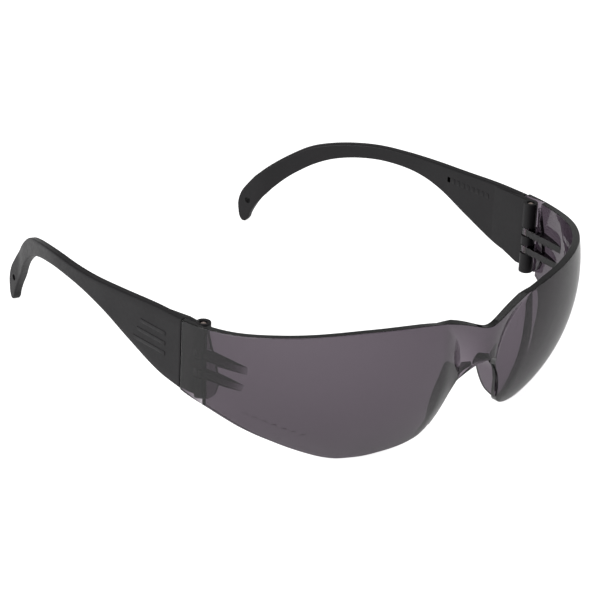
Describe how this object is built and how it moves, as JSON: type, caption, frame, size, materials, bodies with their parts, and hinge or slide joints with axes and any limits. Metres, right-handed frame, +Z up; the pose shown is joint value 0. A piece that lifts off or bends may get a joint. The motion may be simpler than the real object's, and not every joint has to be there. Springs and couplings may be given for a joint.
{
  "type": "safety glasses",
  "caption": "Frameless wraparound safety glasses with a one-piece smoke lens, moulded nose flanges and folding black temples.",
  "frame": {"origin": "on the resting surface, under the middle of the open glasses", "axes": "+X towards the wearer's left, +Y from the lens back along the temples, +Z up"},
  "size_m": [0.14, 0.1594, 0.0452],
  "materials": {
    "smoke_polycarbonate": "clear glossy smoke tint",
    "black_nylon": "fine satin grain",
    "hinge_steel": "drawn wire with cut ends"
  },
  "bodies": {
    "front": {"lens": "smoke_polycarbonate"},
    "left_side": {"left_temple": "black_nylon", "left_hinge_pin": "hinge_steel"},
    "right_side": {"right_temple": "black_nylon", "right_hinge_pin": "hinge_steel"}
  },
  "joints": [
    {"name": "left_fold", "type": "hinge", "parent": "front", "child": "left_side", "pos_m": [0.0658, -0.03174, 0.029], "axis": [0, 0, 1], "range_deg": [0, 78]},
    {"name": "right_fold", "type": "hinge", "parent": "front", "child": "right_side", "pos_m": [-0.0658, -0.03174, 0.029], "axis": [0, 0, -1], "range_deg": [0, 90]}
  ]
}
